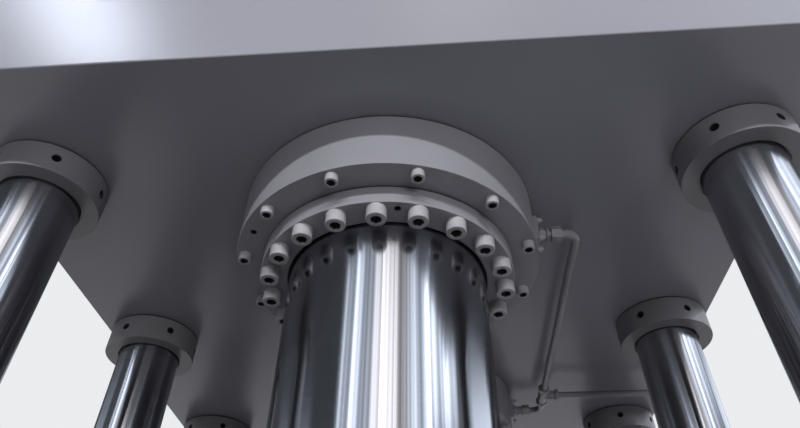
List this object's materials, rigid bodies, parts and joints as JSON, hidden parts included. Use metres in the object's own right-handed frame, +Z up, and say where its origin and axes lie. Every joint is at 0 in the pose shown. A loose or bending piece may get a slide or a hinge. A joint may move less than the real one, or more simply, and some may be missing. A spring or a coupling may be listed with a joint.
{
  "type": "hydraulic press",
  "caption": "Large column press: a crown with downstroke cylinders, a sliding platen guided on chromed columns, and a bed with a bolster plate.",
  "frame": {"origin": "on the floor, below the middle of the crown, at the centre of the bed's underside", "axes": "+Z up along the columns and the stroke, +X to the right, the front of the press faces -Y"},
  "size_m": [2.1, 2.2904, 4.085],
  "materials": {
    "frame_paint": "grey machine enamel, satin",
    "chrome": "ground and hard-chromed",
    "ground_steel": "ground flat",
    "bronze": "turned bearing bronze",
    "packing": "black seal rubber",
    "pipe_paint": "grey enamel over steel tube",
    "block_steel": "milled and phosphated"
  },
  "bodies": {
    "frame": {"bed": "frame_paint", "bolster": "ground_steel", "crown": "frame_paint", "column_front_left": "chrome", "column_front_right": "chrome", "column_middle_left": "chrome", "column_middle_right": "chrome", "column_rear_left": "chrome", "column_rear_right": "chrome", "inner_nut_front_left": "frame_paint", "inner_nut_front_right": "frame_paint", "inner_nut_middle_left": "frame_paint", "inner_nut_middle_right": "frame_paint", "inner_nut_rear_left": "frame_paint", "inner_nut_rear_right": "frame_paint", "top_nut_front_left": "frame_paint", "top_nut_front_right": "frame_paint", "top_nut_middle_left": "frame_paint", "top_nut_middle_right": "frame_paint", "top_nut_rear_left": "frame_paint", "top_nut_rear_right": "frame_paint", "foot_nut_front_left": "frame_paint", "foot_nut_front_right": "frame_paint", "foot_nut_middle_left": "frame_paint", "foot_nut_middle_right": "frame_paint", "foot_nut_rear_left": "frame_paint", "foot_nut_rear_right": "frame_paint", "cylinder_front": "frame_paint", "cylinder_rear": "frame_paint", "gland_front": "frame_paint", "gland_rear": "frame_paint", "ram_packing_front": "packing", "ram_packing_rear": "packing", "ring_nut_front": "frame_paint", "ring_nut_rear": "frame_paint", "barrel_head_front": "frame_paint", "barrel_head_rear": "frame_paint", "port_block_front": "frame_paint", "port_block_rear": "frame_paint", "rod_side_pipe_front": "pipe_paint", "rod_side_pipe_rear": "pipe_paint", "pipe_tee": "pipe_paint", "supply_pipe": "pipe_paint", "valve_block": "block_steel", "head_pipe_front": "pipe_paint", "head_pipe_rear": "pipe_paint"},
    "slide": {"slide": "frame_paint", "guide_bush_front_left": "bronze", "guide_bush_front_right": "bronze", "guide_bush_middle_left": "bronze", "guide_bush_middle_right": "bronze", "guide_bush_rear_left": "bronze", "guide_bush_rear_right": "bronze", "ram_front": "chrome", "ram_rear": "chrome", "ram_clamp_front_a": "frame_paint", "ram_clamp_front_b": "frame_paint", "ram_clamp_rear_a": "frame_paint", "ram_clamp_rear_b": "frame_paint"}
  },
  "joints": [
    {"name": "stroke", "type": "slide", "parent": "frame", "child": "slide", "axis": [0, 0, 1], "range_m": [-0.6, 0.44]}
  ]
}
